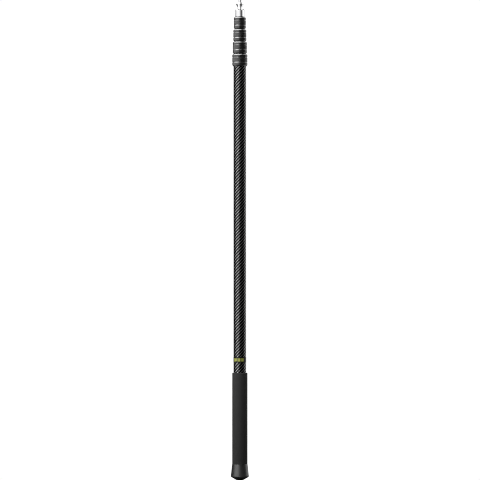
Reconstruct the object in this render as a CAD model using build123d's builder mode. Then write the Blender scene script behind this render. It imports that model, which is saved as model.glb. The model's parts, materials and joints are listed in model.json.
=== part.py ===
"""Telescoping carbon pole with four twist locks, a foam grip, a rubber foot and a 3/8 in stud.

Origin: on the pole's axis, at the lowest point of the rubber foot. +Z up. Millimetres. Fully collapsed.
"""

import os

from build123d import *

# Tubes: each one slides in the next larger one
tube_radii = [15.0, 13.75, 12.5, 11.25, 10.0]  # outer radius, from the main tube to the thinnest
tube_wall = 0.95
tube_gap = 0.3  # radial, between two nested tubes
main_tube_bottom = 10.0

# Clearances
bond_gap = 0.05  # radial, filled with adhesive
running_gap = 0.1  # radial, of a piece that guides a moving one
thread_gap = 0.08  # radial, between the plain cylinders that stand for a lock's threads
free_gap = 0.35  # radial, where a moving tube touches nothing
stop_gap = 0.5  # axial, left between sleeve and collet at full extension
parting_gap = 0.3  # axial, between a lock's fixed and turning halves
rest_gap = 1.0  # axial, between stacked locks and under the end cap

# Twist locks: one on the upper end of each tube that holds another
first_lock_bottom = 985.0
lock_height = 28.4
lock_pitch = lock_height + rest_gap
lock_thickness = 2.95  # a lock's rim stands this far outside its tube
base_lip = 0.6  # thickness of the chamfer's thin lower edge
base_chamfer_height = 3.0
base_height = 8.2  # fixed lower ring
groove_depth = 0.95  # each ring's upper edge slopes in this far, up to the next ring
lower_groove_top = 10.7  # the turning collar starts here
band_top = 19.55
upper_groove_top = 22.15
rim_top = 26.4
rim_bevel = 1.4
edge_round = 0.3
tube_end = 12.0  # the tube ends this far above its lock's bottom
seat_bottom = 13.0
thread_top = 19.0
thread_thickness = 1.1  # of the ferrule's threaded sleeve, outside the tube
seat_lower_opening = 1.0  # radial, from the inner tube to the taper seat
seat_upper_opening = 1.9
collet_bottom = 13.2
collet_shoulder = 19.4
collet_top = 21.0
collet_head = 2.2
collet_slots = 6
collet_slot_width = 1.0
collet_slot_top = 18.4
washer_bottom = 21.1
washer_top = 21.7
collar_shoulder = 21.9
wiper_height = 25.2
wiper_wire = 0.72  # radius of the O-ring's section
wiper_play = 0.05
wiper_groove = 1.6

# Lower ends of the four inner sections
first_plug_bottom = 40.0
plug_pitch = 72.0
plug_flange = 2.0
plug_flange_inset = 0.1
sleeve_length = 50.0
sleeve_play = 0.1  # axial, at each end
sleeve_slit = 1.2
plug_core_inset = 2.5  # the plug's core is this much smaller than its tube
plug_wall = 1.5
spigot_length = 16.0

# Chrome end cap on the thinnest tube
cap_radius = 11.4
cap_bottom = first_lock_bottom + 4 * lock_pitch
cap_top = 1120.4
cap_bevel = 2.4
cap_edge = 0.5
cap_tube_top = 1116.0
cap_spigot_bottom = 1096.0
cap_thread_radius = 4.0
cap_thread_bottom = 1100.0

# Adapter: shank, neck, flared flange and 3/8 in stud
shank_bottom = 1104.0
shank_chamfer = 0.6
neck_radius = 6.2
neck_top = 1127.0
flange_radius = 9.05
flange_bottom = 1132.6
flange_top = 1135.7
flange_edge = 0.5
stud_radius = 9.525 / 2
stud_length = 8.5
stud_chamfer = 0.8

# Rubber foot, butt plug, grip and band
foot_top = 38.1
foot_top_radius = 18.3
foot_rim_radius = 21.6  # of the corner before it is rounded
foot_rim_height = 7.9
foot_rim_round = 3.2
foot_flat_radius = 7.8  # of the corner before it is rounded
foot_flat_round = 5.2
foot_floor = 7.9
butt_flange = 1.9
butt_floor = 2.0
butt_plug_top = 30.0
grip_bottom = 38.3
grip_top = 255.2
grip_radius = 18.2
grip_top_round = 1.6
grip_bottom_round = 0.8
band_bottom = 280.0
band_height = 13.0
band_thickness = 0.16
band_bond = 0.03

os.makedirs("parts", exist_ok=True)


def save(part, node):
    """Label a finished piece and write its STEP file."""
    part.label = node
    export_step(part, f"parts/{node}.step")


def ring(outer, inner, bottom, top):
    """A plain ring or tube about the pole's axis."""
    with BuildPart() as plain:
        with BuildSketch(Plane.XY.offset(bottom)):
            Circle(outer)
            Circle(inner, mode=Mode.SUBTRACT)
        extrude(amount=top - bottom)
    return plain.part


def turned(points, round_radius=0, rounded=()):
    """A turned piece: the closed outline of (radius, height) points, revolved about the pole's axis."""
    with BuildPart() as piece:
        with BuildSketch(Plane.XZ) as outline:
            with BuildLine():
                Polyline(*points, close=True)
            make_face()
            if round_radius:
                corners = [v for v in outline.vertices() if (round(v.X, 3), round(v.Y, 3)) in rounded]
                fillet(corners, round_radius)
        revolve(axis=Axis.Z)
    return piece.part


def raised(points, height):
    """The same outline points, moved up by height."""
    return [(radius, z + height) for radius, z in points]


def key(points):
    """Outline points as rounded pairs, to find their vertices again."""
    return {(round(radius, 3), round(z, 3)) for radius, z in points}


def lock_ferrule(tube, inner, bottom):
    """The fixed half of a lock: visible base ring, threaded sleeve and taper seat."""
    rim = tube + lock_thickness
    thread = tube + thread_thickness
    bore = tube + bond_gap
    rounds = raised([(rim, base_chamfer_height), (rim, base_height)], bottom)
    outline = [
        (bore, 0),
        (tube + base_lip, 0),
        (rim, base_chamfer_height),
        (rim, base_height),
        (rim - groove_depth, lower_groove_top - parting_gap),
        (thread, lower_groove_top - parting_gap),
        (thread, thread_top),
        (inner + seat_upper_opening, thread_top),
        (inner + seat_lower_opening, seat_bottom),
        (tube - tube_wall, seat_bottom),
        (tube - tube_wall, tube_end + bond_gap),
        (bore, tube_end + bond_gap),
    ]
    return turned(raised(outline, bottom), edge_round, key(rounds))


def lock_collar(tube, inner, bottom):
    """The turning half of a lock: grip band, rings, top flange and wiper groove."""
    rim = tube + lock_thickness
    floor = rim - groove_depth
    bore = tube + thread_thickness + thread_gap
    mouth = inner + free_gap
    half_groove = wiper_wire + wiper_play
    rounds = [(rim, lower_groove_top), (rim, band_top), (rim, upper_groove_top), (rim, rim_top)]
    outline = [
        (bore, lower_groove_top),
        (rim, lower_groove_top),
        (rim, band_top),
        (floor, upper_groove_top),
        (rim, upper_groove_top),
        (rim, rim_top),
        (rim - rim_bevel, lock_height),
        (mouth, lock_height),
        (mouth, wiper_height + half_groove),
        (inner + wiper_groove, wiper_height + half_groove),
        (inner + wiper_groove, wiper_height - half_groove),
        (mouth, wiper_height - half_groove),
        (mouth, collar_shoulder),
        (bore, collar_shoulder),
    ]
    return turned(raised(outline, bottom), edge_round, key(raised(rounds, bottom)))


def lock_collet(inner, bottom):
    """Slotted nylon ring that the taper seat squeezes on the inner tube."""
    bore = inner + running_gap
    outline = [
        (bore, collet_bottom),
        (inner + seat_lower_opening - running_gap, collet_bottom),
        (inner + seat_upper_opening - running_gap, thread_top),
        (inner + seat_upper_opening - running_gap, collet_shoulder),
        (inner + collet_head, collet_shoulder),
        (inner + collet_head, collet_top),
        (bore, collet_top),
    ]
    cone = turned(raised(outline, bottom))
    reach = inner + collet_head  # one slot runs from the axis past the rim
    with BuildPart() as collet:
        add(cone)
        with BuildSketch(Plane.XY.offset(bottom + collet_bottom)):
            with PolarLocations(reach / 2 + collet_slot_width, collet_slots):
                Rectangle(reach, collet_slot_width)
        extrude(amount=collet_slot_top - collet_bottom, mode=Mode.SUBTRACT)
    return collet.part


def wiper_ring(inner, bottom):
    """O-ring that wipes the inner tube as it slides."""
    middle = inner + running_gap + wiper_wire
    with BuildPart() as wiper:
        with BuildSketch(Plane.XZ):
            with Locations((middle, bottom + wiper_height)):
                Circle(wiper_wire)
        revolve(axis=Axis.Z)
    return wiper.part


def end_plug(tube, bottom):
    """Hollow plug bonded in a section's lower end, with the core that carries the glide sleeve."""
    core = tube - plug_core_inset
    core_top = bottom + plug_flange + sleeve_length + 2 * sleeve_play
    outline = [
        (core - plug_wall, bottom),
        (tube - plug_flange_inset, bottom),
        (tube - plug_flange_inset, bottom + plug_flange),
        (core, bottom + plug_flange),
        (core, core_top),
        (tube - tube_wall - bond_gap, core_top),
        (tube - tube_wall - bond_gap, core_top + spigot_length),
        (core - plug_wall, core_top + spigot_length),
    ]
    return turned(outline)


def glide_sleeve(tube, bottom):
    """Split sleeve that runs in the bore of the next larger tube and turns freely on the plug."""
    inner = tube - plug_core_inset + running_gap
    outer = tube + tube_gap - running_gap
    sleeve_bottom = bottom + plug_flange + sleeve_play
    with BuildPart() as sleeve:
        add(ring(outer, inner, sleeve_bottom, sleeve_bottom + sleeve_length))
        with BuildSketch(Plane.XY.offset(sleeve_bottom)):
            with Locations((-(outer + inner) / 2, 0)):
                Rectangle(4 * (outer - inner), sleeve_slit)
        extrude(amount=sleeve_length, mode=Mode.SUBTRACT)
    return sleeve.part


# Main tube
main_bore = tube_radii[0] - tube_wall
save(ring(tube_radii[0], main_bore, main_tube_bottom, first_lock_bottom + tube_end), "main_tube")

# Locks and the sections that slide in them
for number in range(1, 5):
    lock_bottom = first_lock_bottom + (number - 1) * lock_pitch
    plug_bottom = first_plug_bottom + (number - 1) * plug_pitch
    tube_bottom = plug_bottom + plug_flange + sleeve_length + 2 * sleeve_play
    tube_top = lock_bottom + lock_pitch + tube_end if number < 4 else cap_tube_top
    outer_tube = tube_radii[number - 1]
    inner_tube = tube_radii[number]
    washer_bore = inner_tube + free_gap
    washer_rim = inner_tube + collet_head

    save(lock_ferrule(outer_tube, inner_tube, lock_bottom), f"lock_{number}_ferrule")
    save(lock_collar(outer_tube, inner_tube, lock_bottom), f"lock_{number}_collar")
    save(lock_collet(inner_tube, lock_bottom), f"lock_{number}_collet")
    save(
        ring(washer_rim, washer_bore, lock_bottom + washer_bottom, lock_bottom + washer_top),
        f"lock_{number}_washer",
    )
    save(wiper_ring(inner_tube, lock_bottom), f"lock_{number}_wiper_ring")

    section = number + 1
    save(ring(inner_tube, inner_tube - tube_wall, tube_bottom, tube_top), f"section_{section}_tube")
    save(end_plug(inner_tube, plug_bottom), f"section_{section}_end_plug")
    save(glide_sleeve(inner_tube, plug_bottom), f"section_{section}_glide_sleeve")

    sleeve_top = plug_bottom + plug_flange + sleeve_play + sleeve_length
    travel = lock_bottom + collet_bottom - sleeve_top - stop_gap
    print(f"section {section}: travel {travel:.1f} mm")

# Chrome end cap: skirt over the tube's end, spigot in its bore, threaded hole for the adapter
thinnest = tube_radii[-1]
cap_outline = [
    (cap_thread_radius, cap_spigot_bottom),
    (thinnest - tube_wall - bond_gap, cap_spigot_bottom),
    (thinnest - tube_wall - bond_gap, cap_tube_top + bond_gap),
    (thinnest + bond_gap, cap_tube_top + bond_gap),
    (thinnest + bond_gap, cap_bottom),
    (cap_radius - cap_edge, cap_bottom),
    (cap_radius, cap_bottom + cap_edge),
    (cap_radius, cap_top - cap_bevel),
    (cap_radius - cap_bevel, cap_top),
    (cap_thread_radius, cap_top),
]
cap_rounds = [(cap_radius, cap_top - cap_bevel), (cap_radius - cap_bevel, cap_top)]
save(turned(cap_outline, edge_round, key(cap_rounds)), "end_cap")

# Adapter
stud_top = flange_top + stud_length
shank_radius = cap_thread_radius - bond_gap
adapter_outline = [
    (0, shank_bottom),
    (shank_radius - shank_chamfer, shank_bottom),
    (shank_radius, shank_bottom + shank_chamfer),
    (shank_radius, cap_top + bond_gap),
    (neck_radius, cap_top + bond_gap),
    (neck_radius, neck_top),
    (flange_radius, flange_bottom),
    (flange_radius, flange_top),
    (stud_radius, flange_top),
    (stud_radius, stud_top - stud_chamfer),
    (stud_radius - stud_chamfer, stud_top),
    (0, stud_top),
]
adapter_rounds = [(neck_radius, neck_top), (flange_radius, flange_bottom), (flange_radius, flange_top)]
save(turned(adapter_outline, flange_edge, key(adapter_rounds)), "stud_adapter")

# Rubber foot: straight flare, rounded rim and shallow dome, bored to push over the main tube
foot_bore = tube_radii[0] + bond_gap
with BuildPart() as rubber_foot:
    with BuildSketch(Plane.XZ) as foot_outline:
        with BuildLine():
            Polyline(
                (0, 0),
                (foot_flat_radius, 0),
                (foot_rim_radius, foot_rim_height),
                (foot_top_radius, foot_top),
                (foot_bore, foot_top),
                (foot_bore, foot_floor),
                (0, foot_floor),
                close=True,
            )
        make_face()
        fillet(foot_outline.vertices().sort_by(Axis.X)[-1], foot_rim_round)
        fillet(foot_outline.vertices().group_by(Axis.Y)[0].sort_by(Axis.X)[-1], foot_flat_round)
    revolve(axis=Axis.Z)
save(rubber_foot.part, "rubber_foot")

# Plug that closes the main tube
butt_spigot = main_bore - bond_gap
butt_outline = [
    (0, foot_floor + bond_gap),
    (tube_radii[0], foot_floor + bond_gap),
    (tube_radii[0], foot_floor + bond_gap + butt_flange),
    (butt_spigot, foot_floor + bond_gap + butt_flange),
    (butt_spigot, butt_plug_top),
    (butt_spigot - plug_wall, butt_plug_top),
    (butt_spigot - plug_wall, main_tube_bottom + butt_floor),
    (0, main_tube_bottom + butt_floor),
]
save(turned(butt_outline), "butt_plug")

# Foam grip
with BuildPart() as foam_grip:
    add(ring(grip_radius, tube_radii[0] + bond_gap, grip_bottom, grip_top))
    outer_edges = foam_grip.edges().filter_by(GeomType.CIRCLE).group_by(SortBy.RADIUS)[-1].sort_by(Axis.Z)
    fillet(outer_edges[-1], grip_top_round)
    outer_edges = foam_grip.edges().filter_by(GeomType.CIRCLE).group_by(Axis.Z)[0]
    fillet(outer_edges.sort_by(SortBy.RADIUS)[-1], grip_bottom_round)
save(foam_grip.part, "foam_grip")

# Printed band
band_bore = tube_radii[0] + band_bond
save(ring(band_bore + band_thickness, band_bore, band_bottom, band_bottom + band_height), "marking_band")
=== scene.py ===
"""Looks of a telescoping carbon pole: woven tubes, knurled twist locks, foam grip, rubber foot, metal tip.

Every length below is in millimetres, and mm() turns it into Blender's metres.
"""

import json
import math

import bpy
import numpy as np
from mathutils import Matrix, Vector, noise


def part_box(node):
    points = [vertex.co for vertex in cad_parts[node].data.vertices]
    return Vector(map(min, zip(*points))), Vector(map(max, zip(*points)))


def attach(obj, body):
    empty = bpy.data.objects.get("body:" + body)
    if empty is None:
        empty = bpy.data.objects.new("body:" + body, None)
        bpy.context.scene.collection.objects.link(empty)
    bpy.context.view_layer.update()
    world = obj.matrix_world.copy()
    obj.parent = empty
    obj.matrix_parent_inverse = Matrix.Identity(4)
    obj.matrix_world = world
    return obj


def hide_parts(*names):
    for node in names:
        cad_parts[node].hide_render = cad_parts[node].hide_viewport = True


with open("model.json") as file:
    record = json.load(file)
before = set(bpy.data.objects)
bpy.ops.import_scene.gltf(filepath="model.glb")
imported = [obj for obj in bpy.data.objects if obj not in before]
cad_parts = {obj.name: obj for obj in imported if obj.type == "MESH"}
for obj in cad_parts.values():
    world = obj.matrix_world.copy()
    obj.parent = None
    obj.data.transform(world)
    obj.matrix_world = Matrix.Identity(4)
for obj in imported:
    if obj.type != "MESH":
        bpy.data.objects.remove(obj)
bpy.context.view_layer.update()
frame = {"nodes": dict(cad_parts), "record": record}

# Tubes, their weave and the bonded fits, which the frame's boxes don't tell
TUBE_WALL = 0.95
TUBE_EDGE = 0.12
TOW_WIDTH = 1.95
TOW_RISE = 0.977  # a pick's height over its width
BOND_GAP = 0.05

# One twist lock. Its heights are above its lower end.
LOCK_BASE_CHAMFER = 3.0
LOCK_BASE_LIP = 0.6
LOCK_BASE_TOP = 8.2
LOCK_PARTING = 10.4
LOCK_BAND_BOTTOM = 10.7
LOCK_BAND_TOP = 19.55
LOCK_RIM_BOTTOM = 22.15
LOCK_RIM_TOP = 26.4
LOCK_TOP = 28.4
LOCK_GAP = 1.0
LOCK_BEVEL = 1.4
LOCK_THICKNESS = 2.95
LOCK_GROOVE = 0.95
LOCK_THREAD = 1.1
LOCK_THREAD_GAP = 0.08
LOCK_THREAD_TOP = 19.0
LOCK_TUBE_END = 12.05
LOCK_SEAT_BOTTOM = 13.0
LOCK_SEAT_OPENINGS = (1.0, 1.9)
LOCK_SHOULDER = 21.9
LOCK_MOUTH_GAP = 0.35
WIPER_HEIGHT = 25.2
WIPER_GROOVE = 1.6
WIPER_HALF = 0.77
KNURL_PITCH = 1.0
KNURL_DEPTH = 0.14
KNURL_GROOVE = 0.3  # half a groove's width, as a share of the pitch
KNURL_MARGIN = 0.2
KNURL_ROWS = 50
KNURL_STEPS = 6  # mesh columns to a tooth
BAND_CHAMFER = 0.25

# Even bars printed on the band, in degrees round the pole
BAR_START = -148
BAR_COUNT = 8
BAR_PITCH = 13
BAR_SHARE = 0.6  # of the pitch
BAR_HALF_HEIGHT = 0.28  # as a share of the band's height

# Tip: plated cap, and steel adapter with a threaded stud
CAP_BEVEL = 2.4
CAP_THREAD = 4.0
NECK_RADIUS = 6.2
NECK_LENGTH = 6.55
FLANGE_THICKNESS = 3.1
STUD_LENGTH = 8.5
STUD_RADIUS = 4.7625
STUD_PITCH = 25.4 / 16
STUD_CHAMFER = 0.8
STUD_CHAMFER_SLOPE = 1.4
STUD_LIFT = 0.05  # its lowest row, above the flange
STUD_ROWS = 110
STUD_SEGMENTS = 128
SHANK_CHAMFER = 0.6
THREAD_DEPTH = 0.6134 * STUD_PITCH
THREAD_ROOT_FLAT = 0.25  # as a share of the pitch, like the crest's
THREAD_CREST_FLAT = 0.125
THREAD_RUNOUT = 0.5  # plain root above the flange, and again the height in which the thread rises

# Rubber foot: outline corners as (radius, height, rounding)
FOOT_RIM = (21.6, 7.9, 3.2)
FOOT_FLAT = (7.8, 0.0, 5.2)
FOOT_TOP_RADIUS = 18.3
FOOT_FLOOR = 7.9

# Foam grip: how far its skin is sunk, and how high its waves and pits are
GRIP_ROWS = 140
GRIP_SINK = 0.1
GRIP_WAVE = 0.07
GRIP_PIT = 0.02
GRIP_BORE_EDGE = 0.5  # nearer the bore than this, it stays round

SEGMENTS = 160
ARC_STEPS = 6
ARC_GUARD = 0.2  # how far a point stands beside each end of an arc, as a share of its radius
TOUCH = 0.01  # nearer than this counts as the same place
SMOOTH_ANGLE = math.radians(35)
NODES = frame["nodes"]
BODY_OF = {node: body for body, nodes in frame["record"]["behaviour"]["bodies"].items() for node in nodes}


def mm(value):
    return value / 1000


def radius_of(node):
    """A round node's outer radius, in millimetres."""
    low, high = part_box(node)
    return (high.x - low.x) * 500


def span_of(node):
    """A node's lowest and highest point, in millimetres."""
    low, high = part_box(node)
    return low.z * 1000, high.z * 1000


# Mesh making


def rounded(corners):
    """A closed outline as points, from (radius, height, rounding) corners."""
    points = []
    for index, (radius, height, size) in enumerate(corners):
        here = Vector((radius, height))
        if not size:
            points.append(here)
            continue
        back = (Vector(corners[index - 1][:2]) - here).normalized()
        ahead = (Vector(corners[(index + 1) % len(corners)][:2]) - here).normalized()
        half = back.angle(ahead) / 2
        reach = size / math.tan(half)
        centre = here + (back + ahead).normalized() * (size / math.sin(half))
        start = here + back * reach - centre
        end = here + ahead * reach - centre
        angle = math.atan2(start.y, start.x)
        sweep = (math.atan2(end.y, end.x) - angle + math.pi) % (2 * math.pi) - math.pi
        points.append(centre + start + back * size * ARC_GUARD)
        for step in range(ARC_STEPS + 1):
            turn = angle + sweep * step / ARC_STEPS
            points.append(centre + Vector((math.cos(turn), math.sin(turn))) * size)
        points.append(centre + end + ahead * size * ARC_GUARD)
    return points


def rows(radius, bottom, top, count):
    """Plain corners up one side of an outline, so that a relief has rows to work on."""
    return [(radius, bottom + (top - bottom) * i / count, 0) for i in range(count + 1)]


def turned(name, corners, node, material, segments=SEGMENTS, relief=None):
    """A lathe-turned mesh in place of a CAD node. relief(radius, height, angle) changes a radius."""
    outline = rounded(corners)
    angles = np.arange(segments) * (2 * math.pi / segments)
    vertices = []
    rings = []
    for point in outline:
        if point.x < 1e-6:
            rings.append([len(vertices)])
            vertices.append((0, 0, mm(point.y)))
            continue
        radii = np.full(segments, point.x)
        if relief:
            radii = relief(radii, point.y, angles)
        rings.append(list(range(len(vertices), len(vertices) + segments)))
        heights = np.full(segments, point.y)
        ring = np.stack([radii * np.cos(angles), radii * np.sin(angles), heights], axis=1)
        vertices.extend(map(tuple, ring / 1000))
    faces = []
    for lower, upper in zip(rings, rings[1:] + rings[:1]):
        for i in range(segments):
            j = (i + 1) % segments
            below = [lower[i % len(lower)], lower[j % len(lower)]]
            above = [upper[j % len(upper)], upper[i % len(upper)]]
            face = list(dict.fromkeys(below + above))
            if len(face) > 2:
                faces.append(face)
    mesh = bpy.data.meshes.new(name)
    mesh.from_pydata(vertices, [], faces)
    mesh.validate()
    mesh.shade_smooth()
    mesh.set_sharp_from_angle(angle=SMOOTH_ANGLE)
    mesh.materials.append(material)
    piece = bpy.data.objects.new(name, mesh)
    bpy.context.scene.collection.objects.link(piece)
    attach(piece, BODY_OF[node])
    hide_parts(node)
    return piece


# Materials


class Shader:
    """A material with a Principled BSDF, and short calls for the nodes that feed it."""

    def __init__(self, name, **values):
        self.material = bpy.data.materials.new(name)
        self.material.use_nodes = True
        self.nodes = self.material.node_tree.nodes
        self.links = self.material.node_tree.links
        self.surface = self.nodes["Principled BSDF"]
        for socket, value in values.items():
            self.surface.inputs[socket.replace("_", " ")].default_value = value

    def node(self, kind, inputs=(), **settings):
        made = self.nodes.new(kind)
        for key, value in settings.items():
            setattr(made, key, value)
        for key, value in dict(inputs).items():
            if isinstance(value, bpy.types.NodeSocket):
                self.links.new(value, made.inputs[key])
            else:
                made.inputs[key].default_value = value
        return made

    def math(self, operation, *values):
        return self.node("ShaderNodeMath", dict(enumerate(values)), operation=operation).outputs[0]

    def blend(self, factor, first, second):
        return self.math("ADD", self.math("MULTIPLY", self.math("SUBTRACT", 1.0, factor), first),
                         self.math("MULTIPLY", factor, second))

    def place(self):
        """The point's x, y and z in the pole's own frame, in metres."""
        split = self.node("ShaderNodeSeparateXYZ", {0: self.node("ShaderNodeTexCoord").outputs["Object"]})
        return split.outputs[0], split.outputs[1], split.outputs[2]

    def point(self, x, y, z):
        return self.node("ShaderNodeCombineXYZ", {0: x, 1: y, 2: z}).outputs[0]

    def position(self):
        return self.node("ShaderNodeTexCoord").outputs["Object"]

    def noise(self, vector, scale, detail=2.0, roughness=0.5):
        made = self.node("ShaderNodeTexNoise",
                         {"Vector": vector, "Scale": scale, "Detail": detail, "Roughness": roughness})
        return made.outputs[0]

    def ramp(self, value, low, high, to_low=0.0, to_high=1.0):
        made = self.node("ShaderNodeMapRange", {0: value, 1: low, 2: high, 3: to_low, 4: to_high})
        return made.outputs[0]

    def colours(self, factor, *stops):
        """A colour ramp from evenly spaced linear colours."""
        made = self.node("ShaderNodeValToRGB", {0: factor})
        elements = made.color_ramp.elements
        while len(elements) < len(stops):
            elements.new(0.5)
        for index, (element, colour) in enumerate(zip(elements, stops)):
            element.position = index / (len(stops) - 1)
            element.color = (*colour, 1)
        return made.outputs[0]

    def bump(self, height, distance, strength=1.0, normal=None):
        inputs = {"Height": height, "Distance": mm(distance), "Strength": strength}
        if normal:
            inputs["Normal"] = normal
        return self.node("ShaderNodeBump", inputs).outputs[0]

    def set(self, **sockets):
        for key, value in sockets.items():
            self.links.new(value, self.surface.inputs[key.replace("_", " ")])
        return self.material


def grey(value):
    return (value, value, value)


def carbon_weave(name, radius):
    """Two-by-two twill of carbon tow under clear resin, with the weft's sheen and the tows' edge shade
    painted into the colour. The diagonals rise to the right.
    """
    tows_round = 4 * round(2 * math.pi * radius / TOW_WIDTH / 4)
    shader = Shader(name, Coat_Weight=0.15, Coat_Roughness=0.1, Coat_IOR=1.5, Metallic=1.0)
    x, y, z = shader.place()
    wander = shader.math("MULTIPLY", shader.math("SUBTRACT", shader.noise(shader.position(), 60), 0.5), 0.16)
    turn = shader.math("MULTIPLY", shader.math("ARCTAN2", y, x), tows_round / (2 * math.pi))
    u = shader.math("ADD", turn, wander)
    v = shader.math("ADD", shader.math("DIVIDE", z, mm(TOW_WIDTH * TOW_RISE)), wander)
    column, pick = shader.math("FLOOR", u), shader.math("FLOOR", v)
    step = shader.math("FLOORED_MODULO", shader.math("SUBTRACT", column, pick), 4.0)
    weft_up = shader.math("GREATER_THAN", step, 1.5)
    part_u, part_v = shader.math("FRACT", u), shader.math("FRACT", v)
    across = shader.blend(weft_up, part_u, part_v)
    along_warp = shader.math("MULTIPLY", shader.math("ADD", shader.math("SUBTRACT", 1.0, step), part_v), 0.5)
    along_weft = shader.math("MULTIPLY", shader.math("ADD", shader.math("SUBTRACT", step, 2.0), part_u), 0.5)
    along = shader.blend(weft_up, along_warp, along_weft)
    side = shader.math("ABSOLUTE", shader.math("SUBTRACT", shader.math("MULTIPLY", across, 2.0), 1.0))
    crown = shader.math("SUBTRACT", 1.0, shader.math("POWER", side, 4.0))
    arch = shader.math("SINE", shader.math("MULTIPLY", along, math.pi))
    height = shader.math("MULTIPLY", crown, shader.ramp(arch, 0.0, 1.0, 0.35, 1.0))
    seed = shader.math("ADD", shader.math("MULTIPLY", column, 3.7), shader.math("MULTIPLY", pick, 7.9))
    fibre = shader.noise(shader.point(shader.math("ADD", shader.math("MULTIPLY", along, 1.2), seed),
                                      shader.math("MULTIPLY", across, 9.0), weft_up), 1.6, 3.0, 0.6)
    # Painted reflection: weft floats get a bright base colour that stands for the sheen of their crossing
    # fibres, while warp floats stay near black.
    tone = shader.math("ADD", shader.math("MULTIPLY", weft_up, 0.6), shader.math("MULTIPLY", fibre, 0.4))
    # Painted shade and highlight: each tow is brightest on its crown and darkens towards its edges and ends,
    # where it dips under its neighbours.
    tone = shader.math("MULTIPLY", tone, shader.ramp(height, 0.15, 0.95, 0.1, 1.0))
    colour = shader.colours(tone, grey(0.002), grey(0.03), grey(0.78))
    warp_rough = shader.ramp(fibre, 0.2, 0.8, 0.26, 0.34)
    weft_rough = shader.ramp(fibre, 0.2, 0.8, 0.38, 0.48)
    rough = shader.blend(weft_up, warp_rough, weft_rough)
    relief = shader.bump(height, 0.14, 0.7)
    relief = shader.bump(fibre, 0.02, 0.5, relief)
    return shader.set(Base_Color=colour, Roughness=rough, Normal=relief)


def black_anodised(name):
    """Satin black anodised aluminium with faint lathe lines, and a painted highlight that makes faces looking
    up paler.
    """
    shader = Shader(name, Metallic=0.88)
    _, _, z = shader.place()
    wear = shader.noise(shader.position(), 220, 4.0, 0.6)
    lines = shader.noise(shader.point(0.0, 0.0, shader.math("MULTIPLY", z, 9000.0)), 1.0, 3.0, 0.7)
    grain = shader.noise(shader.position(), 5200, 2.0, 0.5)
    body = shader.ramp(wear, 0.3, 0.75, 0.055, 0.078)
    # Painted highlight: where the normal points up, the base colour is lifted to pale grey, as if lit from
    # above.
    facing = shader.node("ShaderNodeSeparateXYZ", {0: shader.node("ShaderNodeNewGeometry").outputs["Normal"]})
    painted_top_highlight = shader.ramp(facing.outputs[2], 0.18, 0.32)
    colour = shader.colours(shader.blend(painted_top_highlight, body, 0.18), grey(0.0), grey(1.0))
    rough = shader.blend(painted_top_highlight, shader.ramp(wear, 0.3, 0.7, 0.3, 0.38), 0.28)
    relief = shader.bump(lines, 0.012, 0.6)
    relief = shader.bump(grain, 0.01, 0.5, relief)
    return shader.set(Base_Color=colour, Roughness=rough, Normal=relief)


def chrome(name):
    """Bright plated metal with the finest polishing lines."""
    shader = Shader(name, Metallic=1.0)
    _, _, z = shader.place()
    smear = shader.noise(shader.position(), 160, 3.0, 0.6)
    lines = shader.noise(shader.point(0.0, 0.0, shader.math("MULTIPLY", z, 7000.0)), 1.0, 3.0, 0.7)
    colour = shader.colours(smear, (0.47, 0.47, 0.475), (0.54, 0.54, 0.545), (0.5, 0.5, 0.505))
    rough = shader.ramp(smear, 0.3, 0.75, 0.07, 0.14)
    return shader.set(Base_Color=colour, Roughness=rough, Normal=shader.bump(lines, 0.003, 0.35))


def satin_steel(name):
    """Finely turned stainless steel: bright, with soft reflections."""
    shader = Shader(name, Metallic=0.92)
    smear = shader.noise(shader.position(), 210, 3.0, 0.6)
    grain = shader.noise(shader.position(), 6500, 2.0, 0.5)
    colour = shader.colours(smear, (0.74, 0.74, 0.745), (0.82, 0.82, 0.825), (0.78, 0.78, 0.785))
    rough = shader.ramp(smear, 0.3, 0.75, 0.28, 0.36)
    return shader.set(Base_Color=colour, Roughness=rough, Normal=shader.bump(grain, 0.006, 0.4))


def foam(name):
    """Closed-cell foam rubber: tiny open pores in a matte skin, with soft mottling and painted shade in the
    pores.
    """
    shader = Shader(name)
    shader.surface.inputs["Specular IOR Level"].default_value = 0.25
    cells = shader.node("ShaderNodeTexVoronoi", {"Vector": shader.position(), "Scale": 1500.0}).outputs[0]
    pores = shader.ramp(cells, 0.05, 0.42)
    mottle = shader.noise(shader.position(), 90, 4.0, 0.6)
    # Painted shade: the pores are darker, as the shade inside them would be; the mottle is a random tone.
    pore_shade_and_mottle = shader.math("MULTIPLY", pores, shader.ramp(mottle, 0.3, 0.7, 0.85, 1.0))
    colour = shader.colours(pore_shade_and_mottle, grey(0.016), grey(0.033), grey(0.038))
    rough = shader.ramp(mottle, 0.3, 0.7, 0.82, 0.95)
    relief = shader.bump(pores, 0.12, 0.8)
    relief = shader.bump(mottle, 0.25, 0.3, relief)
    return shader.set(Base_Color=colour, Roughness=rough, Normal=relief)


def rubber(name, tone=0.016, roughness=0.43):
    """Moulded black rubber with a fine eggshell skin and dusty patches."""
    shader = Shader(name, IOR=1.62)
    shader.surface.inputs["Specular IOR Level"].default_value = 1.0
    skin = shader.noise(shader.position(), 2600, 3.0, 0.55)
    dust = shader.noise(shader.position(), 70, 5.0, 0.65)
    colour = shader.colours(shader.ramp(dust, 0.35, 0.75), grey(tone * 0.8), grey(tone), grey(tone * 1.35))
    rough = shader.ramp(dust, 0.3, 0.75, roughness - 0.06, roughness + 0.1)
    return shader.set(Base_Color=colour, Roughness=rough, Normal=shader.bump(skin, 0.05, 0.6))


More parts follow.
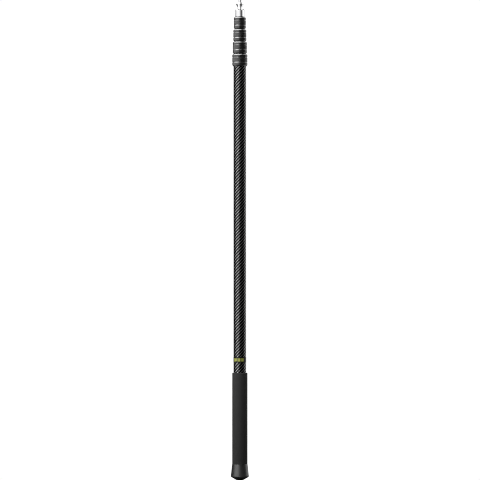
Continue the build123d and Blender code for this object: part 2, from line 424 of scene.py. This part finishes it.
def plastic(name, tone, roughness=0.42):
    """Moulded or machined engineering plastic."""
    shader = Shader(name)
    grain = shader.noise(shader.position(), 1800, 3.0, 0.6)
    cloud = shader.noise(shader.position(), 120, 3.0, 0.5)
    low = tuple(c * 0.88 for c in tone)
    high = tuple(min(c * 1.08, 1) for c in tone)
    colour = shader.colours(cloud, low, tone, high)
    rough = shader.ramp(grain, 0.3, 0.7, roughness - 0.05, roughness + 0.08)
    return shader.set(Base_Color=colour, Roughness=rough, Normal=shader.bump(grain, 0.02, 0.5))


def brass(name):
    """Turned brass with fine rings and a little tarnish."""
    shader = Shader(name, Metallic=1.0)
    x, y, _ = shader.place()
    tarnish = shader.noise(shader.position(), 240, 4.0, 0.6)
    square = shader.math("ADD", shader.math("MULTIPLY", x, x), shader.math("MULTIPLY", y, y))
    reach = shader.math("SQRT", square)
    rings = shader.noise(shader.point(0.0, 0.0, shader.math("MULTIPLY", reach, 8000.0)), 1.0, 3.0, 0.7)
    colour = shader.colours(tarnish, (0.42, 0.29, 0.1), (0.62, 0.45, 0.17), (0.7, 0.53, 0.22))
    rough = shader.ramp(tarnish, 0.3, 0.7, 0.25, 0.4)
    return shader.set(Base_Color=colour, Roughness=rough, Normal=shader.bump(rings, 0.01, 0.6))


def printed_band(name):
    """Black film with a row of plain, even yellow bars printed round its front."""
    shader = Shader(name)
    shader.surface.inputs["Specular IOR Level"].default_value = 0.25
    x, y, z = shader.place()
    turn = shader.math("MULTIPLY", shader.math("ARCTAN2", y, x), 180 / math.pi)
    low, high = span_of("marking_band")
    level = shader.ramp(z, mm(low), mm(high))
    off_middle = shader.math("ABSOLUTE", shader.math("SUBTRACT", level, 0.5))
    inside = shader.math("LESS_THAN", off_middle, BAR_HALF_HEIGHT)
    middle = BAR_START + BAR_COUNT * BAR_PITCH / 2
    reach = shader.math("ABSOLUTE", shader.math("SUBTRACT", turn, middle))
    front = shader.math("LESS_THAN", reach, BAR_COUNT * BAR_PITCH / 2)
    phase = shader.math("FRACT", shader.math("DIVIDE", shader.math("SUBTRACT", turn, BAR_START), BAR_PITCH))
    ink = shader.math("MULTIPLY", shader.math("LESS_THAN", phase, BAR_SHARE), front)
    speck = shader.noise(shader.position(), 900, 3.0, 0.6)
    wear = shader.ramp(speck, 0.25, 0.5, 0.75, 1.0)
    ink = shader.math("MULTIPLY", shader.math("MULTIPLY", ink, inside), wear)
    colour = shader.colours(ink, (0.006, 0.006, 0.004), (0.25, 0.26, 0.05), (0.5, 0.54, 0.12))
    rough = shader.ramp(ink, 0.0, 1.0, 0.36, 0.45)
    return shader.set(Base_Color=colour, Roughness=rough, Normal=shader.bump(ink, 0.03, 0.6))


# Pieces


def make_tube(node):
    radius = radius_of(node)
    bottom, top = span_of(node)
    bore = radius - TUBE_WALL
    corners = [
        (bore, bottom, TUBE_EDGE),
        (radius, bottom, TUBE_EDGE),
        (radius, top, TUBE_EDGE),
        (bore, top, TUBE_EDGE),
    ]
    return turned(f"{node}_woven", corners, node, carbon_weave(f"carbon_{node}", radius))


def make_ferrule(node, tube, inner, material):
    """Fixed half of a lock: chamfered base ring, threaded sleeve and taper seat."""
    bottom, _ = span_of(node)
    rim = tube + LOCK_THICKNESS
    floor = rim - LOCK_GROOVE
    thread = tube + LOCK_THREAD
    bore = tube + BOND_GAP
    outline = [
        (bore, 0, 0),
        (tube + LOCK_BASE_LIP, 0, 0.15),
        (rim, LOCK_BASE_CHAMFER, 0.4),
        (rim, LOCK_BASE_TOP, 0.35),
        (floor, LOCK_PARTING, 0.1),
        (thread, LOCK_PARTING, 0),
        (thread, LOCK_THREAD_TOP, 0.1),
        (inner + LOCK_SEAT_OPENINGS[1], LOCK_THREAD_TOP, 0),
        (inner + LOCK_SEAT_OPENINGS[0], LOCK_SEAT_BOTTOM, 0),
        (tube - TUBE_WALL, LOCK_SEAT_BOTTOM, 0),
        (tube - TUBE_WALL, LOCK_TUBE_END, 0),
        (bore, LOCK_TUBE_END, 0),
    ]
    corners = [(radius, height + bottom, size) for radius, height, size in outline]
    return turned(f"{node}_body", corners, node, material)


def make_collar(node, tube, inner, material):
    """Turning half of a lock: knurled grip band between two grooves, bevelled top rim, wiper groove."""
    _, top = span_of(node)
    bottom = top - LOCK_TOP
    rim = tube + LOCK_THICKNESS
    floor = rim - LOCK_GROOVE
    bore = tube + LOCK_THREAD + LOCK_THREAD_GAP
    mouth = inner + LOCK_MOUTH_GAP
    teeth = round(2 * math.pi * rim / KNURL_PITCH)
    band = rows(rim, LOCK_BAND_BOTTOM + BAND_CHAMFER, LOCK_BAND_TOP, KNURL_ROWS)
    outline = [
        (bore, LOCK_BAND_BOTTOM, 0.1),
        (rim - BAND_CHAMFER, LOCK_BAND_BOTTOM, 0),
        *band,
        (floor, LOCK_RIM_BOTTOM, 0.1),
        (rim, LOCK_RIM_BOTTOM, 0.35),
        (rim, LOCK_RIM_TOP, 0.4),
        (rim - LOCK_BEVEL, LOCK_TOP, 0.3),
        (mouth, LOCK_TOP, 0.1),
        (mouth, WIPER_HEIGHT + WIPER_HALF, 0),
        (inner + WIPER_GROOVE, WIPER_HEIGHT + WIPER_HALF, 0),
        (inner + WIPER_GROOVE, WIPER_HEIGHT - WIPER_HALF, 0),
        (mouth, WIPER_HEIGHT - WIPER_HALF, 0),
        (mouth, LOCK_SHOULDER, 0),
        (bore, LOCK_SHOULDER, 0),
    ]
    corners = [(radius, height + bottom, size) for radius, height, size in outline]
    band_bottom = bottom + LOCK_BAND_BOTTOM
    band_top = bottom + LOCK_BAND_TOP

    def knurl(radii, height, angles):
        """Crossed V grooves that leave small diamonds, on the grip band only."""
        on_band = band_bottom + KNURL_MARGIN < height < band_top - KNURL_MARGIN
        if not on_band or radii[0] < rim - TOUCH:
            return radii
        turn = angles * teeth / (2 * math.pi)
        climb = (height - band_bottom) / KNURL_PITCH
        cut = np.zeros_like(angles)
        for direction in (1, -1):
            offset = np.abs((turn + direction * climb) % 1 - 0.5)
            cut = np.maximum(cut, np.clip(1 - offset / KNURL_GROOVE, 0, 1))
        return radii - KNURL_DEPTH * cut

    return turned(f"{node}_knurled", corners, node, material, teeth * KNURL_STEPS, knurl)


def make_cap(node, material):
    """Chrome cap: skirt outside the thinnest tube, spigot in its bore, bevelled shoulder."""
    bottom, top = span_of(node)
    _, lock_top = span_of("lock_4_collar")
    radius = radius_of(node)
    tube = radius_of("section_5_tube")
    _, tube_top = span_of("section_5_tube")
    skirt_bottom = lock_top + LOCK_GAP
    corners = [
        (CAP_THREAD, bottom, 0),
        (tube - TUBE_WALL - BOND_GAP, bottom, 0.2),
        (tube - TUBE_WALL - BOND_GAP, tube_top + BOND_GAP, 0),
        (tube + BOND_GAP, tube_top + BOND_GAP, 0),
        (tube + BOND_GAP, skirt_bottom, 0.15),
        (radius, skirt_bottom, 0.5),
        (radius, top - CAP_BEVEL, 0.6),
        (radius - CAP_BEVEL, top, 0.5),
        (CAP_THREAD, top, 0.15),
    ]
    return turned("end_cap_plated", corners, node, material)


def make_adapter(node, material):
    """Adapter with a waisted neck, flared flange and a right-hand threaded stud."""
    bottom, top = span_of(node)
    flange_top = top - STUD_LENGTH
    flange_bottom = flange_top - FLANGE_THICKNESS
    _, cap_top = span_of("end_cap")
    neck_bottom = cap_top + BOND_GAP
    shank = CAP_THREAD - BOND_GAP
    flange = radius_of(node)
    stud_bottom = flange_top + STUD_LIFT
    stud = rows(STUD_RADIUS, stud_bottom, top, STUD_ROWS)
    corners = [
        (0, bottom, 0),
        (shank - SHANK_CHAMFER, bottom, 0),
        (shank, bottom + SHANK_CHAMFER, 0),
        (shank, neck_bottom, 0),
        (NECK_RADIUS, neck_bottom, 0.2),
        (NECK_RADIUS, neck_bottom + NECK_LENGTH, 2.5),
        (flange, flange_bottom, 0.5),
        (flange, flange_top, 0.4),
        *stud,
        (0, top, 0),
    ]

    def thread(radii, height, angles):
        """The helix, cut back to its root under the flange and chamfered at the tip."""
        if height < stud_bottom - TOUCH or radii[0] > STUD_RADIUS + TOUCH:
            return radii
        phase = (height / STUD_PITCH - angles / (2 * math.pi)) % 1
        flank = 1 - THREAD_ROOT_FLAT - THREAD_CREST_FLAT
        ridge = np.clip((np.abs(2 * phase - 1) - THREAD_ROOT_FLAT) / flank, 0, 1)
        start = min(max((height - flange_top - THREAD_RUNOUT) / THREAD_RUNOUT, 0), 1)
        cut = radii - THREAD_DEPTH * (1 - ridge * start)
        chamfer = STUD_RADIUS - max(height - (top - STUD_CHAMFER), 0) * STUD_CHAMFER_SLOPE
        return np.minimum(cut, chamfer)

    return turned("stud_adapter_threaded", corners, node, material, STUD_SEGMENTS, thread)


def make_grip(material):
    """Foam sleeve, pressed on the tube, with faint waves in its surface."""
    bottom, top = span_of("foam_grip")
    radius = radius_of("foam_grip")
    bore = radius_of("main_tube") + BOND_GAP
    corners = [
        (bore, bottom, 0.3),
        (radius, bottom, 0.8),
        *rows(radius, bottom + 2, top - 3, GRIP_ROWS),
        (radius, top, 1.6),
        (bore, top, 0.4),
    ]

    def ripple(height, angles, scale_round, scale_up):
        points = [(math.cos(a) * scale_round, math.sin(a) * scale_round, height * scale_up) for a in angles]
        return np.array([noise.noise(Vector(point)) for point in points])

    def soften(radii, height, angles):
        """Long waves and small pits, on the outside only."""
        if radii[0] < bore + GRIP_BORE_EDGE:
            return radii
        wave = ripple(height, angles, 1.3, 0.06)
        pits = ripple(height, angles, 14, 0.8)
        return radii - GRIP_SINK - GRIP_WAVE * wave - GRIP_PIT * pits

    piece = turned("foam_grip_sleeve", corners, "foam_grip", material, relief=soften)
    return piece


def make_foot(material):
    """Rubber foot: straight flare, rounded rim, shallow dome with a flat in its middle."""
    _, top = span_of("rubber_foot")
    bore = radius_of("main_tube") + BOND_GAP
    corners = [
        (0, 0, 0),
        FOOT_FLAT,
        FOOT_RIM,
        (FOOT_TOP_RADIUS, top, 0.5),
        (bore, top, 0.4),
        (bore, FOOT_FLOOR, 0),
        (0, FOOT_FLOOR, 0),
    ]
    return turned("rubber_foot_moulded", corners, "rubber_foot", material)


def paint(nodes, material):
    """Gives CAD nodes that stay a procedural material."""
    for node in nodes:
        slots = NODES[node].material_slots
        for index in range(len(slots)):
            slots[index].material = material
        NODES[node].data.shade_smooth()
        NODES[node].data.set_sharp_from_angle(angle=SMOOTH_ANGLE)


def make_pole():
    anodised = black_anodised("black_anodised_metal")
    plated = chrome("chrome_plate")
    tubes = ["main_tube"] + [f"section_{number}_tube" for number in range(2, 6)]
    for node in tubes:
        make_tube(node)
    locks = []
    for number in range(1, 5):
        tube, inner = radius_of(tubes[number - 1]), radius_of(tubes[number])
        locks.append(make_ferrule(f"lock_{number}_ferrule", tube, inner, anodised))
        locks.append(make_collar(f"lock_{number}_collar", tube, inner, anodised))
    tip = [make_cap("end_cap", plated), make_adapter("stud_adapter", satin_steel("satin_steel"))]
    make_grip(foam("foam_rubber"))
    make_foot(rubber("foot_rubber"))
    acetal = plastic("black_acetal_plastic", (0.02, 0.02, 0.021))
    nylon = plastic("natural_nylon", (0.6, 0.57, 0.49))
    numbers = range(1, 5)
    paint([f"lock_{n}_collet" for n in numbers], nylon)
    paint([f"lock_{n}_washer" for n in numbers], brass("washer_metal"))
    paint([f"lock_{n}_wiper_ring" for n in numbers], rubber("wiper_rubber_skin"))
    paint([f"section_{n + 1}_end_plug" for n in numbers] + ["butt_plug"], acetal)
    paint([f"section_{n + 1}_glide_sleeve" for n in numbers], acetal)
    paint(["marking_band"], printed_band("band_print"))
    return tip, locks


# Studio

VIEW_HEIGHT = 1142.9
VIEW_SIDE = 0.36  # of the camera, to the right of the axis
LENS = 200.0
SENSOR = 36.0
PANEL_DISTANCE = 1500.0
PANEL_HEIGHT = 7000.0
PANEL_MIDDLE = 2600.0
# Upright softboxes: name, first azimuth, last azimuth, radiance
PANELS = [("soft_left", -80, -14, 1.75), ("rim_right", 98, 150, 1.3)]
LOCK_PANEL = ("lock_edge_left", -122, -80, 2.0)
# Softboxes from above: name, azimuth, elevation, distance, width and height, radiance
KEY_LIGHTS = [
    ("key_above", -62, 46, 2200, (1800, 850), 4.4),
    ("key_behind", -125, 48, 2200, (1500, 850), 4.0),
    ("key_top", -30, 76, 2000, (1900, 800), 4.0),
]
KEY_AIM = 1050.0
TIP_PANEL_HEIGHT = 760.0
TIP_PANEL_MIDDLE = 1540.0
# Softboxes round the tip: first azimuth, last azimuth, radiance
TIP_PANELS = [
    (-138, -80, 1.35),
    (-14, 8, 1.5),
    (8, 30, 0.4),
    (30, 62, 0.14),
    (62, 92, 1.5),
    (92, 140, 1.3),
]
WORLD_LIGHT = 0.035
WORLD_BACKDROP = 1.02
FLOOR_RADIUS = 450.0
FLOOR_DROP = 0.5


def softbox(name, azimuth, elevation, distance, size, radiance, aim_height):
    """A soft light aimed at a height on the pole. Azimuth 0 is the camera's side, positive is its right."""
    data = bpy.data.lights.new(name, "AREA")
    data.shape = "RECTANGLE"
    data.size, data.size_y = mm(size[0]), mm(size[1])
    data.energy = radiance * math.pi * data.size * data.size_y
    light = bpy.data.objects.new(name, data)
    turn, lift = math.radians(azimuth), math.radians(elevation)
    away = Vector((math.sin(turn) * math.cos(lift), -math.cos(turn) * math.cos(lift), math.sin(lift)))
    light.location = Vector((0, 0, mm(aim_height))) + away * mm(distance)
    light.rotation_euler = (-away).to_track_quat("-Z", "Y").to_euler()
    light.visible_camera = False
    bpy.context.scene.collection.objects.link(light)
    return light


def panel(name, from_angle, to_angle, radiance, height=PANEL_HEIGHT, middle=PANEL_MIDDLE):
    """An upright softbox that the pole sees between two azimuths."""
    half = math.radians(abs(to_angle - from_angle) / 2)
    width = 2 * PANEL_DISTANCE * math.sin(half)
    reach = PANEL_DISTANCE * math.cos(half)
    return softbox(name, (from_angle + to_angle) / 2, 0, reach, (width, height), radiance, middle)


def light_only(name, pieces, lights):
    """Lights that reach these pieces and nothing else."""
    receivers = bpy.data.collections.new(name)
    for piece in pieces:
        receivers.objects.link(piece)
    for light in lights:
        light.light_linking.receiver_collection = receivers


def light_pole():
    """The softboxes that light everything."""
    for settings in PANELS:
        panel(*settings)
    for settings in KEY_LIGHTS:
        softbox(*settings, KEY_AIM)


def light_tip(pieces):
    """A ring of softboxes level with the tip."""
    ring = [panel(f"tip_soft_{index + 1}", start, end, radiance, TIP_PANEL_HEIGHT, TIP_PANEL_MIDDLE)
            for index, (start, end, radiance) in enumerate(TIP_PANELS)]
    light_only("lit_tip", pieces, ring)


def make_world():
    """White behind everything for the camera, dim grey for light and reflections."""
    world = bpy.data.worlds.new("studio")
    world.use_nodes = True
    bpy.context.scene.world = world
    nodes, links = world.node_tree.nodes, world.node_tree.links
    background = nodes["Background"]
    background.inputs["Color"].default_value = (1, 1, 1, 1)
    path = nodes.new("ShaderNodeLightPath")
    level = nodes.new("ShaderNodeMapRange")
    level.inputs["To Min"].default_value = WORLD_LIGHT
    level.inputs["To Max"].default_value = WORLD_BACKDROP
    links.new(path.outputs["Is Camera Ray"], level.inputs["Value"])
    links.new(level.outputs[0], background.inputs["Strength"])


def make_floor():
    """Pale disc under the foot, about as bright as the backdrop to the camera, and dim to everything else."""
    material = bpy.data.materials.new("pale_floor")
    material.use_nodes = True
    nodes, links = material.node_tree.nodes, material.node_tree.links
    surface = nodes["Principled BSDF"]
    surface.inputs["Base Color"].default_value = (0.05, 0.05, 0.05, 1)
    surface.inputs["Roughness"].default_value = 0.9
    surface.inputs["Emission Color"].default_value = (1, 1, 1, 1)
    links.new(nodes.new("ShaderNodeLightPath").outputs["Is Camera Ray"], surface.inputs["Emission Strength"])
    bpy.ops.mesh.primitive_circle_add(vertices=96, radius=mm(FLOOR_RADIUS), fill_type="NGON",
                                      location=(0, 0, -mm(FLOOR_DROP)))
    floor = bpy.context.object
    floor.name = "floor"
    floor.data.materials.append(material)


def make_camera():
    """Level with the pole's middle, in front of it, through a long lens."""
    data = bpy.data.cameras.new("camera")
    data.lens = LENS
    data.sensor_width = SENSOR
    distance = mm(VIEW_HEIGHT) / 2 / (SENSOR / 2 / LENS)
    camera = bpy.data.objects.new("camera", data)
    camera.location = (mm(VIEW_SIDE), -distance, mm(VIEW_HEIGHT) / 2)
    camera.rotation_euler = (math.pi / 2, 0, 0)
    bpy.context.scene.collection.objects.link(camera)
    bpy.context.scene.camera = camera


bpy.context.scene.view_settings.view_transform = "Standard"
# These two keep a weave sharp that is about one pixel fine
bpy.context.scene.cycles.denoising_prefilter = "NONE"
bpy.context.scene.cycles.filter_width = 1.0

make_camera()
make_world()
make_floor()
light_pole()
tip, locks = make_pole()
light_tip(tip)
light_only("lit_locks", locks, [panel(*LOCK_PANEL)])
